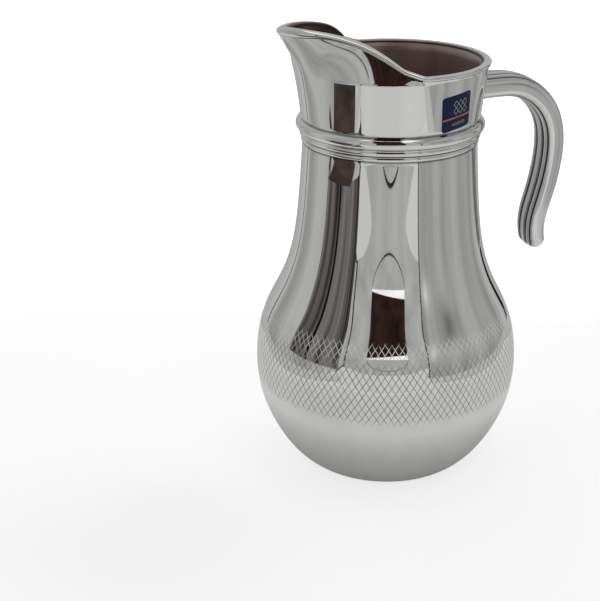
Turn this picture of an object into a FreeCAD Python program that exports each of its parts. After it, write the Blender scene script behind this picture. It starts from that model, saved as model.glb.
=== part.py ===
import FreeCAD, Part
import math
import os

# A glass water jug, silver plated outside and lacquered inside.
# Its axis is Z, it stands on z = 0, the spout points to -X and the handle to +X. Millimetres.

Vector = FreeCAD.Vector

doc = FreeCAD.newDocument("silvered_jug")
sheet = doc.addObject("Spreadsheet::Sheet", "sizes")

SIZES = {
    # layers, from the outside in
    "plating_thickness": 0.3,
    "glass_thickness": 4.0,
    "film_thickness": 0.25,
    # foot
    "stand_clearance": 0.5,
    "punt_radius": 38.0,
    "punt_depth": 2.5,
    "floor_height": 7.5,
    "floor_radius": 34.0,
    "floor_bend_radius": 54.0,
    # cut band
    "band_bottom": 47.5,
    "band_top": 95.5,
    # collar and neck
    "collar_bottom": 184.8,
    "collar_root_radius": 46.9,
    "thin_ridge_height": 186.3,
    "thin_ridge_radius": 47.6,
    "thin_ridge_rounding": 1.4,
    "middle_ridge_height": 189.6,
    "middle_ridge_radius": 48.4,
    "middle_ridge_rounding": 1.7,
    "bead_height": 194.4,
    "bead_radius": 50.35,
    "bead_rounding": 2.9,
    "neck_bottom_height": 198.8,
    "neck_bottom_radius": 47.8,
    "crease_height": 225.0,
    "crease_radius": 50.7,
    # rim and spout
    "rim_height": 228.5,
    "rim_radius": 51.9,
    "spout_half_angle": 82.4,
    # handle
    "handle_width": 23.5,
    "handle_tail_width": 20.0,
    "handle_depth": 12.8,
    "handle_tail_depth": 11.0,
    "handle_groove_depth": 0.8,
    # label
    "label_width": 19.2,
    "label_height": 18.4,
    "label_corner": 1.6,
    "label_bottom": 199.4,
    "label_angle": -68.2,
    "label_thickness": 0.2,
}

# control points (radius, height) of the bulb's outline, from the foot up to under the collar
BULB_POLES = (
    (47.1, 0.0), (51.6, 2.9), (60.8, 12.2), (75.7, 44.5), (72.0, 83.9),
    (60.7, 101.4), (50.9, 126.0), (48.3, 158.3), (46.2, 195.7),
)
# control points (along the spout, to one side, height) of half of the spout's edge, from its tip
SPOUT_POLES = (
    (61.9, 0.0, 248.0), (61.9, 0.0, 248.0), (56.6, 10.8, 248.2),
    (34.3, 24.7, 245.3), (20.4, 37.4, 239.6), (6.8, 51.5, 228.5),
)
# control points (from the jug's axis, height) of the handle's centre line, from inside the neck to its tail
HANDLE_POLES = (
    (42.0, 209.4), (55.0, 209.6), (73.3, 212.2), (92.4, 195.5), (96.4, 176.5),
    (94.2, 156.5), (90.5, 141.9), (86.0, 125.7), (90.1, 114.3),
)

for row, (alias, value) in enumerate(SIZES.items(), start=1):
    sheet.set(f"A{row}", alias)
    sheet.set(f"B{row}", str(value))
    sheet.setAlias(f"B{row}", alias)
doc.recompute()


def size(alias):
    return float(getattr(sheet, alias))


def polar(radius, angle, height):
    """A point at an angle, in radians, from the spout's direction."""
    return Vector(-radius * math.cos(angle), radius * math.sin(angle), height)


def clamped_spline(poles):
    """A cubic with clamped ends and evenly spaced knots."""
    inner = len(poles) - 4
    curve = Part.BSplineCurve()
    curve.buildFromPolesMultsKnots(
        poles, [4] + [1] * inner + [4], [float(k) for k in range(inner + 2)], False, 3
    )
    return curve


def parameter_where(curve, measure, target):
    """The parameter at which a measure that only grows along the curve reaches target."""
    low = curve.FirstParameter
    high = curve.LastParameter
    for _ in range(50):
        middle = (low + high) / 2
        if measure(curve.value(middle)) < target:
            low = middle
        else:
            high = middle
    return low


# ---- the vessel's layers -------------------------------------------------------------------


def layer_poles(poles, inset):
    """Control points moved square to their own polygon, so that the curve moves by inset."""
    moved = []
    for index, pole in enumerate(poles):
        before = poles[max(index - 1, 0)]
        after = poles[min(index + 1, len(poles) - 1)]
        normals = []
        for first, second in ((before, pole), (pole, after)):
            run = second - first
            if run.Length > 0:
                normals.append(Vector(-run.z, 0, run.x) / run.Length)
        both = sum(normals, Vector())
        moved.append(pole + both * (inset * len(normals) / both.dot(both)))
    return moved


def curve_up_to(curve, height):
    """An edge of the curve from its start to a height."""
    curve.segment(curve.FirstParameter, parameter_where(curve, lambda point: point.z, height))
    return curve.toShape()


def collar_and_neck_edges(inset):
    """Three turned ridges and the neck, up to the crease under the rim."""
    edges = []
    root = size("collar_root_radius") - inset
    previous = Vector(root, 0, size("collar_bottom"))
    for ridge in ("thin_ridge", "middle_ridge", "bead"):
        rounding = size(f"{ridge}_rounding") - inset
        crest = size(f"{ridge}_radius") - inset
        middle = size(f"{ridge}_height")
        reach = math.sqrt(rounding ** 2 - (root - (crest - rounding)) ** 2)
        foot = Vector(root, 0, middle - reach)
        head = Vector(root, 0, middle + reach)
        edges.append(Part.makeLine(previous, foot))
        edges.append(Part.Arc(foot, Vector(crest, 0, middle), head).toShape())
        previous = head
    for place in ("neck_bottom", "crease"):
        end = Vector(size(f"{place}_radius") - inset, 0, size(f"{place}_height"))
        edges.append(Part.makeLine(previous, end))
        previous = end
    return edges


def outside_outline(name, inset):
    """A half section of everything within an outer layer, as a face to be turned about the axis."""
    poles = layer_poles([Vector(radius, 0, height) for radius, height in BULB_POLES], inset)
    poles[0] = Vector(BULB_POLES[0][0] - inset, 0, 0)
    bulb = curve_up_to(clamped_spline(poles), size("collar_bottom"))
    collar_foot = Vector(size("collar_root_radius") - inset, 0, size("collar_bottom"))
    crease = size("crease_height")
    edges = [
        Part.makeLine(Vector(0, 0, 0), poles[0]),
        bulb,
        Part.makeLine(bulb.valueAt(bulb.LastParameter), collar_foot),
        *collar_and_neck_edges(inset),
        Part.makeLine(Vector(size("crease_radius") - inset, 0, crease), Vector(0, 0, crease)),
        Part.makeLine(Vector(0, 0, crease), Vector(0, 0, 0)),
    ]
    return outline_feature(name, edges)


def inside_outline(name, inset, floor):
    """A half section of the space within an inner layer, which is smooth from its floor to the crease."""
    crease = size("crease_height")
    outer = [Vector(radius, 0, height) for radius, height in BULB_POLES]
    outer.append(Vector(size("crease_radius"), 0, crease))
    walls = layer_poles(outer, inset)[3:]
    walls[-1] = Vector(size("crease_radius") - inset, 0, crease)
    bend = [Vector(size("floor_radius"), 0, floor), Vector(size("floor_bend_radius"), 0, floor)]
    wall = clamped_spline(bend + walls)
    edges = [
        Part.makeLine(Vector(0, 0, floor), bend[0]),
        wall.toShape(),
        Part.makeLine(walls[-1], Vector(0, 0, crease)),
        Part.makeLine(Vector(0, 0, crease), Vector(0, 0, floor)),
    ]
    return outline_feature(name, edges)


def outline_feature(name, edges):
    feature = doc.addObject("Part::Feature", name)
    feature.Shape = Part.Face(Part.Wire(edges))
    return feature


def turned(name, outline):
    revolution = doc.addObject("Part::Revolution", name)
    revolution.Source = outline
    revolution.Axis = Vector(0, 0, 1)
    revolution.Base = Vector(0, 0, 0)
    revolution.Angle = 360
    revolution.Solid = True
    return revolution


def boolean(kind, name, base, tool):
    result = doc.addObject(kind, name)
    result.Base = base
    result.Tool = tool
    result.Refine = True
    return result


# ---- the rim and the spout -----------------------------------------------------------------

spout_curve = clamped_spline([Vector(*pole) for pole in SPOUT_POLES])
SPOUT_STEPS = 40


def rim_point(angle, inset):
    """The edge of a layer at an angle from the spout's direction."""
    half_angle = math.radians(size("spout_half_angle"))
    if abs(angle) >= half_angle:
        return polar(size("rim_radius") - inset, angle, size("rim_height"))
    parameter = parameter_where(spout_curve, lambda point: math.atan2(point.y, point.x), abs(angle))
    on_edge = spout_curve.value(parameter)
    # the cheeks of the spout run askew to the radius, so an even wall takes more of it there
    slant = 1 + 0.2 * math.sin(math.pi * abs(angle) / half_angle)
    return polar(math.hypot(on_edge.x, on_edge.y) - inset * slant, angle, on_edge.z)


def crease_edges(inset):
    half_angle = math.radians(size("spout_half_angle"))
    radius = size("crease_radius") - inset
    height = size("crease_height")
    ends = [polar(radius, -half_angle, height), polar(radius, half_angle, height)]
    front = Part.Arc(ends[0], polar(radius, 0, height), ends[1])
    back = Part.Arc(ends[1], polar(radius, math.pi, height), ends[0])
    return [front.toShape(), back.toShape()]


def rim_edges(inset):
    half_angle = math.radians(size("spout_half_angle"))
    angles = [half_angle * step / SPOUT_STEPS for step in range(-SPOUT_STEPS, SPOUT_STEPS + 1)]
    points = [rim_point(angle, inset) for angle in angles]
    front = Part.BSplineCurve()
    front.interpolate(Points=points, Parameters=[float(step) for step in range(len(points))])
    back = Part.Arc(points[-1], rim_point(math.pi, inset), points[0])
    return [front.toShape(), back.toShape()]


def crown_feature(name, outer_inset, inner_inset):
    """The wall of one layer from the crease up to the rim, drawn out into the spout."""
    outer_crease = crease_edges(outer_inset)
    inner_crease = crease_edges(inner_inset)
    outer_rim = rim_edges(outer_inset)
    inner_rim = rim_edges(inner_inset)
    faces = []
    for first, second in ((outer_crease, outer_rim), (outer_rim, inner_rim), (inner_rim, inner_crease)):
        faces += [Part.makeRuledSurface(one, other) for one, other in zip(first, second)]
    wires = [Part.Wire(outer_crease), Part.Wire(inner_crease)]
    faces.append(Part.makeFace(wires, "Part::FaceMakerBullseye"))
    shell = Part.makeShell(faces)
    shell.sewShape()
    feature = doc.addObject("Part::Feature", name)
    feature.Shape = Part.makeSolid(Part.Shell(shell.Faces))
    return feature


# ---- the handle ----------------------------------------------------------------------------

handle_curve = clamped_spline([Vector(reach, 0, height) for reach, height in HANDLE_POLES])
HANDLE_STATIONS = 26
SECTION_POINTS = 40
SQUARENESS = 2.7
TAIL_STATIONS = 7


def handle_section(parameter, width, depth, groove):
    """A closed curve across the handle: a rounded strap with two grooves along each broad face."""
    centre = handle_curve.value(parameter)
    tangent = handle_curve.tangent(parameter)[0]
    outwards = Vector(tangent.z, 0, -tangent.x) * -1
    points = []
    for step in range(SECTION_POINTS):
        angle = 2 * math.pi * step / SECTION_POINTS
        across = math.copysign(abs(math.cos(angle)) ** (2 / SQUARENESS), math.cos(angle))
        up = math.copysign(abs(math.sin(angle)) ** (2 / SQUARENESS), math.sin(angle))
        dent = sum(math.exp(-(((across - line) / 0.13) ** 2)) for line in (-0.36, 0.36))
        height = up * (depth / 2 - groove * dent * abs(up))
        points.append(centre + Vector(0, 1, 0) * (across * width / 2) + outwards * height)
    curve = Part.BSplineCurve()
    curve.interpolate(Points=points, PeriodicFlag=True)
    return Part.Wire(curve.toShape())


def handle_feature(name, inset):
    """The handle within a layer: it narrows along its length and its tail is rounded off."""
    end = handle_curve.LastParameter
    tail_depth = size("handle_tail_depth") / 2
    tail_start = handle_curve.parameterAtDistance(handle_curve.length() - tail_depth, 0.0)
    stations = [(tail_start * step / HANDLE_STATIONS, 1.0) for step in range(HANDLE_STATIONS + 1)]
    for step in range(1, TAIL_STATIONS + 1):
        angle = math.radians(78) * step / TAIL_STATIONS
        reach = math.sin(angle) * (1 - inset / tail_depth)
        stations.append((tail_start + (end - tail_start) * reach, math.cos(angle)))
    sections = []
    for parameter, roundness in stations:
        along = parameter / end
        width = size("handle_width") + (size("handle_tail_width") - size("handle_width")) * along
        depth = size("handle_depth") + (size("handle_tail_depth") - size("handle_depth")) * along
        narrowing = 1 - (1 - roundness) * depth / width
        sections.append(handle_section(
            parameter,
            width * narrowing - 2 * inset,
            depth * roundness - 2 * inset * roundness,
            size("handle_groove_depth") * roundness,
        ))
    feature = doc.addObject("Part::Feature", name)
    feature.Shape = Part.makeLoft(sections, True, False)
    return feature


# ---- the whole layers, before they are parted ----------------------------------------------

plating = size("plating_thickness")
glass = size("glass_thickness")
film = size("film_thickness")
plating_solid = turned("within_plating", outside_outline("plating_outline", 0))
glass_solid = turned("within_glass", outside_outline("glass_outline", plating))
cavity_solid = turned(
    "within_cavity", inside_outline("cavity_outline", plating + glass, size("floor_height"))
)
film_solid = turned(
    "within_film", inside_outline("film_outline", plating + glass + film, size("floor_height") + film)
)

# ---- glass_body ----------------------------------------------------------------------------

vessel_wall = boolean("Part::Cut", "vessel_wall", glass_solid, cavity_solid)
vessel = boolean("Part::Fuse", "vessel", vessel_wall, crown_feature("glass_crown", plating, plating + glass))
punt = doc.addObject("Part::Sphere", "punt")
PUNT_SPHERE = "(sizes.punt_radius ^ 2 + sizes.punt_depth ^ 2) / (2 * sizes.punt_depth)"
punt.setExpression("Radius", PUNT_SPHERE)
punt.setExpression("Placement.Base.z", f"sizes.punt_depth - {PUNT_SPHERE}")
glass_body = boolean("Part::Cut", "glass_body", vessel, punt)

# ---- glass_handle and its plating ----------------------------------------------------------

handle_core = handle_feature("handle_core", plating)
glass_handle = boolean("Part::Cut", "glass_handle", handle_core, glass_solid)
handle_skin = boolean("Part::Cut", "handle_skin", handle_feature("handle_outside", 0), handle_core)
silver_handle_coat = boolean("Part::Cut", "silver_handle_coat", handle_skin, plating_solid)

# ---- the plating of the vessel, parted at the edges of the cut band --------------------------

vessel_plating = boolean("Part::Cut", "vessel_plating", plating_solid, glass_solid)


def slab(name, bottom, top):
    """A disc wider than the jug, between two heights of the sheet."""
    disc = doc.addObject("Part::Cylinder", name)
    disc.setExpression("Radius", "sizes.handle_width * 4")
    disc.setExpression("Height", f"sizes.{top} - sizes.{bottom}")
    disc.setExpression("Placement.Base.z", f"sizes.{bottom}")
    return disc


silver_lower_coat = boolean(
    "Part::Common", "silver_lower_coat", vessel_plating, slab("lower_slab", "stand_clearance", "band_bottom")
)
silver_cut_band = boolean(
    "Part::Common", "silver_cut_band", vessel_plating, slab("band_slab", "band_bottom", "band_top")
)
upper_plating = boolean(
    "Part::Common", "upper_plating", vessel_plating, slab("upper_slab", "band_top", "crease_height")
)
upper_whole = boolean("Part::Fuse", "upper_whole", upper_plating, crown_feature("plating_crown", 0, plating))
silver_upper_coat = boolean("Part::Cut", "silver_upper_coat", upper_whole, handle_core)

# ---- inner_coat ----------------------------------------------------------------------------

film_wall = boolean("Part::Cut", "film_wall", cavity_solid, film_solid)
film_crown = crown_feature("film_crown", plating + glass, plating + glass + film)
inner_coat = boolean("Part::Fuse", "inner_coat", film_wall, film_crown)

# ---- label ---------------------------------------------------------------------------------

def neck_cone(name, skin):
    """The neck between its bead and its crease, with a skin added all round."""
    cone = doc.addObject("Part::Cone", name)
    cone.setExpression("Radius1", f"sizes.neck_bottom_radius + {skin}")
    cone.setExpression("Radius2", f"sizes.crease_radius + {skin}")
    cone.setExpression("Height", "sizes.crease_height - sizes.neck_bottom_height")
    cone.setExpression("Placement.Base.z", "sizes.neck_bottom_height")
    return cone


label_outside = neck_cone("label_outside", "sizes.label_thickness")
label_shell = boolean("Part::Cut", "label_shell", label_outside, neck_cone("label_inside", "0"))

label_block = doc.addObject("Part::Box", "label_block")
label_block.setExpression("Length", "sizes.rim_radius - 30")
label_block.setExpression("Width", "sizes.label_width")
label_block.setExpression("Height", "sizes.label_height")
label_turn = FreeCAD.Rotation(Vector(0, 0, 1), size("label_angle"))
label_base = label_turn.multVec(Vector(30, -size("label_width") / 2, size("label_bottom")))
label_block.Placement = FreeCAD.Placement(label_base, label_turn)
doc.recompute()

outwards = label_turn.multVec(Vector(1, 0, 0))
label_blank = doc.addObject("Part::Fillet", "label_blank")
label_blank.Base = label_block
label_blank.Edges = [
    (number, size("label_corner"), size("label_corner"))
    for number, edge in enumerate(label_block.Shape.Edges, start=1)
    if abs(edge.tangentAt(edge.FirstParameter).dot(outwards)) > 0.99
]
label = boolean("Part::Common", "label", label_shell, label_blank)

# ---- check and write -----------------------------------------------------------------------

NODES = (
    glass_body, glass_handle, silver_lower_coat, silver_cut_band, silver_upper_coat,
    silver_handle_coat, inner_coat, label,
)

doc.recompute()
for item in doc.Objects:
    if "Invalid" in item.State or "Error" in item.State:
        raise RuntimeError(f"{item.Name} failed: {item.State}")

os.makedirs("parts", exist_ok=True)
for node in NODES:
    shape = node.Shape
    if shape.isNull() or not shape.isValid() or len(shape.Solids) != 1:
        raise RuntimeError(f"{node.Label} is not one valid solid")
    shape.exportStep(f"parts/{node.Label}.step")
    print(f"{node.Label}: {shape.Volume / 1000:.2f} cm3, {len(shape.Faces)} faces")
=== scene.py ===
import math

import bpy
import numpy as np
from mathutils import Matrix, Vector


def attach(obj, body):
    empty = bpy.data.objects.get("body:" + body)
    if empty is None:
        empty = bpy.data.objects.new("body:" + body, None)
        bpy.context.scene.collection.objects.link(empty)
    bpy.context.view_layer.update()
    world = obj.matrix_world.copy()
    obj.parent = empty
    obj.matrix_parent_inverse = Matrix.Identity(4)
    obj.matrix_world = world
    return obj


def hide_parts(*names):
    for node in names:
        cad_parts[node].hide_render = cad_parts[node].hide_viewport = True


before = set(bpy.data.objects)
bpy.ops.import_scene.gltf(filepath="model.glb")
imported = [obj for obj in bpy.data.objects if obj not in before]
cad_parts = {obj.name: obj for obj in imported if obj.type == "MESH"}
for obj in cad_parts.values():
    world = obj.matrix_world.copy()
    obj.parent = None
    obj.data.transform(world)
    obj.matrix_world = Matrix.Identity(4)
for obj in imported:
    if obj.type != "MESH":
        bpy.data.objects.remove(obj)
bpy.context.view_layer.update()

# A silvered, hand-cut glass jug. Lengths in the tables below are millimetres, as in the CAD model,
# and become metres when a mesh is made. The axis is Z, the spout points to -X, the handle to +X.
MM = 0.001

PLATING = 0.3
GLASS = 4.0
STAND_CLEARANCE = 0.5
PUNT_RADIUS = 38.0
PUNT_DEPTH = 2.5
FLOOR_HEIGHT = 7.5
FLOOR_RADIUS = 34.0
FLOOR_BEND_RADIUS = 54.0
BAND_BOTTOM = 47.5
BAND_TOP = 95.5
COLLAR_BOTTOM = 184.8
COLLAR_ROOT = 46.9
# height, crest radius and rounding of the collar's turned ridges
RIDGES = ((186.3, 47.6, 1.4), (189.6, 48.4, 1.7), (194.4, 50.35, 2.9))
NECK_BOTTOM = (47.8, 198.8)
CREASE = (50.7, 225.0)
RIM_RADIUS = 51.9
RIM_HEIGHT = 228.5
SPOUT_HALF_ANGLE = math.radians(82.4)

BULB_POLES = (
    (47.1, 0.0), (51.6, 2.9), (60.8, 12.2), (75.7, 44.5), (72.0, 83.9),
    (60.7, 101.4), (50.9, 126.0), (48.3, 158.3), (46.2, 195.7),
)
SPOUT_POLES = (
    (61.9, 0.0, 248.0), (61.9, 0.0, 248.0), (56.6, 10.8, 248.2),
    (34.3, 24.7, 245.3), (20.4, 37.4, 239.6), (6.8, 51.5, 228.5),
)
HANDLE_POLES = (
    (42.0, 209.4), (55.0, 209.6), (73.3, 212.2), (92.4, 195.5), (96.4, 176.5),
    (94.2, 156.5), (90.5, 141.9), (86.0, 125.7), (90.1, 114.3),
)
HANDLE_WIDTH = (23.5, 20.0)
HANDLE_DEPTH = (12.8, 11.0)


# ---- small mathematics ----

def smoothstep(low, high, value):
    t = np.clip((value - low) / (high - low), 0.0, 1.0)
    return t * t * (3 - 2 * t)


def clamped_spline(poles, count):
    """count points along a cubic with clamped ends and evenly spaced knots."""
    poles = np.array(poles, float)
    spans = len(poles) - 3
    knots = np.concatenate([[0.0] * 3, np.arange(spans + 1), [float(spans)] * 3])
    u = np.linspace(0.0, spans, count)
    u[-1] = spans - 1e-9
    basis = np.array([(knots[i] <= u) & (u < knots[i + 1]) for i in range(len(knots) - 1)], float)
    for degree in (1, 2, 3):
        raised = []
        for i in range(len(basis) - 1):
            left = knots[i + degree] - knots[i]
            right = knots[i + degree + 1] - knots[i + 1]
            term = np.zeros_like(u)
            if left > 0:
                term = term + (u - knots[i]) / left * basis[i]
            if right > 0:
                term = term + (knots[i + degree + 1] - u) / right * basis[i + 1]
            raised.append(term)
        basis = raised
    return np.array(basis).T @ poles


def offset_outline(outline, inset):
    """An outline of (radius, height) points moved square to itself, towards the axis."""
    run = np.gradient(outline, axis=0)
    run /= np.linalg.norm(run, axis=1, keepdims=True)
    return outline + np.stack([-run[:, 1], run[:, 0]], axis=1) * inset


# ---- the vessel's surface ----

bulb_outline = clamped_spline(BULB_POLES, 6000)
spout_edge = clamped_spline(SPOUT_POLES, 4000)
spout_angle = np.arctan2(spout_edge[:, 1], spout_edge[:, 0])
spout_reach = np.hypot(spout_edge[:, 0], spout_edge[:, 1])


def ridged_collar(inset):
    """The collar's outline: three ridges on a plain root, then a step out to the neck."""
    root = COLLAR_ROOT - inset
    points = [(root, COLLAR_BOTTOM)]
    for height, crest, rounding in RIDGES:
        radius = rounding - inset
        reach = math.sqrt(radius ** 2 - (root - (crest - rounding)) ** 2)
        half = math.atan2(reach, root - (crest - rounding))
        for angle in np.linspace(-half, half, 26):
            points.append((crest - rounding + radius * math.cos(angle), height + radius * math.sin(angle)))
    points.append((NECK_BOTTOM[0] - inset, NECK_BOTTOM[1]))
    return points


def crease_softness(angle):
    """1 at the spout's middle, where the neck flows out into the lip, and 0 where the crease is sharp."""
    return 1.0 - smoothstep(math.radians(9), math.radians(27), np.abs(angle))


def lip_flare(angle, height):
    """How far the neck already leans out below the crease, in front."""
    return 1.3 * crease_softness(angle) * np.clip((height - 203.0) / (CREASE[1] - 203.0), 0, 1) ** 2


RIM_BLEND = math.radians(11)
RIM_SAMPLES = np.linspace(-1, 1, 9)


def rim_at(angle):
    """Radius and height of the rim's edge at angles from the spout's direction.

    Averaged over nearby angles where the spout runs into the round rim, so that it bends there softly.
    """
    size = np.abs(angle)
    spread = RIM_BLEND * np.exp(-((size - SPOUT_HALF_ANGLE) / RIM_BLEND) ** 2)
    radius = height = 0.0
    for step in RIM_SAMPLES:
        nearby = size + step * spread
        radius = radius + np.interp(nearby, spout_angle, spout_reach, right=RIM_RADIUS)
        height = height + np.interp(nearby, spout_angle, spout_edge[:, 2], right=RIM_HEIGHT)
    return radius / len(RIM_SAMPLES), height / len(RIM_SAMPLES)


def slant_at(angle):
    """The cheeks of the spout run askew to the radius, so an even wall takes more of it there."""
    return 1 + 0.2 * np.sin(math.pi * np.clip(np.abs(angle) / SPOUT_HALF_ANGLE, 0, 1))


def bulb_rows(inset, lowest, highest, rows_per_mm):
    """The bulb's outline between two heights, in even steps along it."""
    bulb = offset_outline(bulb_outline, inset)
    length = np.concatenate([[0], np.cumsum(np.hypot(*np.diff(bulb, axis=0).T))])
    start, end = np.interp((lowest, highest), bulb[:, 1], length)
    even = np.linspace(start, end, int((end - start) * rows_per_mm) + 1)
    return np.stack([np.interp(even, length, bulb[:, i]) for i in (0, 1)], axis=1)


def outside_rows(angle, inset, lowest, rows_per_mm=1.0):
    """Outer wall from a height to just under the rim's bead: arrays of radius and height, angle by row."""
    bulb = bulb_rows(inset, lowest, COLLAR_BOTTOM, rows_per_mm)
    neck_top = np.array([CREASE[0] - inset, CREASE[1]])
    collar = np.array(ridged_collar(inset))
    steps = np.linspace(0, 1, 28)[1:, None]
    neck = collar[-1] + (neck_top - collar[-1]) * steps
    outline = np.concatenate([bulb[:-1], collar, neck])
    radius = np.broadcast_to(outline[:, 0], (len(angle), len(outline))).copy()
    height = np.broadcast_to(outline[:, 1], radius.shape).copy()
    radius += lip_flare(angle[:, None], height)
    crown_radius, crown_height = crown_rows(angle, inset, radius[:, -1])
    return (
        np.concatenate([radius, crown_radius[:, 1:]], axis=1),
        np.concatenate([height, crown_height[:, 1:]], axis=1),
    )


BEAD_RISE = 1.3
BEAD_SWELL = 0.12
TOP_CLEARANCE = 0.02
# the bead is taller and fuller in the middle of the lip
LIP_RISE = 0.9
LIP_SWELL = 0.3
BEAD_START = math.radians(-52)
FILM_START = 122


def bead_point(angle, inset, turn):
    """A point of the rounded rim: turn is 0 outside, 90 degrees on top and 180 inside."""
    radius, height = rim_at(angle)
    slant = slant_at(angle)
    half_wall = GLASS / 2 * slant
    middle = radius - (PLATING * slant + half_wall)
    front = crease_softness(angle)
    swell = (half_wall + (PLATING - inset) * slant + BEAD_SWELL + LIP_SWELL * front) * np.cos(turn)
    rise = BEAD_RISE + LIP_RISE * front
    return middle + swell, height - rise - TOP_CLEARANCE + (rise - inset) * np.sin(turn)


def crown_rows(angle, inset, foot_radius, count=22):
    """The wall from the crease up to the bead. It is straight, or bends softly at the lip's middle."""
    top_radius, top_height = bead_point(angle, inset, BEAD_START)
    rise = top_height - CREASE[1]
    lean = top_radius - foot_radius
    soft = crease_softness(angle)
    neck_lean = (0.115 + 0.118 * soft) * rise
    start = lean + (neck_lean - lean) * soft
    end = lean * (1 + 0.25 * soft)
    t = np.append(np.linspace(0, 0.97, count - 1), 1.0)[None, :]
    hermite_end = t * t * (3 - 2 * t)
    radius = (
        foot_radius[:, None]
        + lean[:, None] * hermite_end
        + start[:, None] * (t ** 3 - 2 * t ** 2 + t)
        + end[:, None] * (t ** 3 - t ** 2)
    )
    return radius, CREASE[1] + rise[:, None] * t


def bead_rows(angle, inset, end_degrees, count=15):
    turns = np.linspace(BEAD_START, math.radians(end_degrees), count)
    pairs = [bead_point(angle, inset, turn) for turn in turns]
    return np.stack([p[0] for p in pairs], axis=1), np.stack([p[1] for p in pairs], axis=1)


def inside_rows(angle, inset, floor, rows=190):
    """Inner wall from just under the rim down to the floor's middle."""
    slant = slant_at(angle)
    depth = inset - PLATING - GLASS
    radius, height = rim_at(angle)
    top_radius = radius - (PLATING + GLASS + depth) * slant
    top_height = height - BEAD_RISE - 0.5 - LIP_RISE * crease_softness(angle)
    outer = [(r, z) for r, z in BULB_POLES] + [CREASE]
    polygon = np.array(outer)
    normals = np.gradient(polygon, axis=0)
    normals /= np.linalg.norm(normals, axis=1, keepdims=True)
    walls = (polygon + np.stack([-normals[:, 1], normals[:, 0]], axis=1) * inset)[3:]
    walls[-1] = (CREASE[0] - inset, CREASE[1])
    outline = clamped_spline([(FLOOR_RADIUS, floor), (FLOOR_BEND_RADIUS, floor), *walls], rows)[::-1]
    inner_radius = np.broadcast_to(outline[:, 0], (len(angle), len(outline))).copy()
    inner_height = np.broadcast_to(outline[:, 1], inner_radius.shape).copy()
    inner_radius += lip_flare(angle[:, None], inner_height)
    t = np.linspace(0, 1, 24)[None, :-1]
    crown_radius = top_radius[:, None] + (inner_radius[:, :1] - top_radius[:, None]) * t
    crown_height = top_height[:, None] + (CREASE[1] - top_height[:, None]) * t
    centre_radius = FLOOR_RADIUS * np.linspace(1, 0, 12)[None, 1:-1]
    centre = np.broadcast_to(centre_radius, (len(angle), centre_radius.shape[1]))
    return (
        np.concatenate([crown_radius, inner_radius, centre], axis=1),
        np.concatenate([crown_height, inner_height, np.full(centre.shape, floor)], axis=1),
    )


# ---- meshes ----

def new_piece(name, points, faces, materials):
    """A mesh object from millimetre points, smooth shaded, with its materials."""
    mesh = bpy.data.meshes.new(name)
    mesh.from_pydata((np.asarray(points) * MM).tolist(), [], faces)
    mesh.validate()
    mesh.shade_smooth()
    piece = bpy.data.objects.new(name, mesh)
    bpy.context.scene.collection.objects.link(piece)
    for material in materials:
        mesh.materials.append(material)
    return piece


def grid_faces(columns, rows, closed_columns=True, closed_rows=False):
    """Quads of a columns by rows grid of points, which may close on itself either way."""
    faces = []
    for c in range(columns if closed_columns else columns - 1):
        following = (c + 1) % columns
        for r in range(rows if closed_rows else rows - 1):
            above = (r + 1) % rows
            faces.append((c * rows + r, following * rows + r, following * rows + above, c * rows + above))
    return faces


def turned_points(angle, radius, height):
    """Points from angles off the spout's direction; they run round the jug anticlockwise from above."""
    x = -radius * np.cos(angle)[:, None]
    y = -radius * np.sin(angle)[:, None]
    return np.stack([x, y, height], axis=2).reshape(-1, 3)


def even_angles(columns):
    return np.linspace(-math.pi, math.pi, columns, endpoint=False)


def close_pole(points, faces, columns, rows, row, height, flip):
    """A cap of triangles from one end row of a turned grid to a point on the axis."""
    centre = len(points)
    points = np.concatenate([points, [[0.0, 0.0, height]]])
    for c in range(columns):
        one = c * rows + row
        other = (c + 1) % columns * rows + row
        faces.append((other, one, centre) if flip else (one, other, centre))
    return points, faces


# the mesh attribute of painted shade: darkening that stands in for shade in crevices, grooves and under rims,
# and for dark reflections
PAINTED_SHADE = "painted_shade"


def painted_shade(piece, amount):
    """Writes the painted shade at each point of the metal or film, for its material to read."""
    attribute = piece.data.attributes.new(PAINTED_SHADE, "FLOAT", "POINT")
    attribute.data.foreach_set("value", np.ravel(amount).astype(float))


def thicken(piece, thickness):
    """Gives an open sheet a back and crisp edges, behind the side that shows."""
    mesh = piece.data
    uses = np.zeros(len(mesh.edges), int)
    loop_edges = np.zeros(len(mesh.loops), np.int32)
    mesh.loops.foreach_get("edge_index", loop_edges)
    np.add.at(uses, loop_edges, 1)
    for edge in np.flatnonzero(uses == 1):
        mesh.edges[edge].use_edge_sharp = True
    solid = piece.modifiers.new("thickness", "SOLIDIFY")
    solid.thickness = thickness * MM
    solid.offset = -1
    solid.use_quality_normals = True
    return piece


# ---- materials ----

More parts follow.
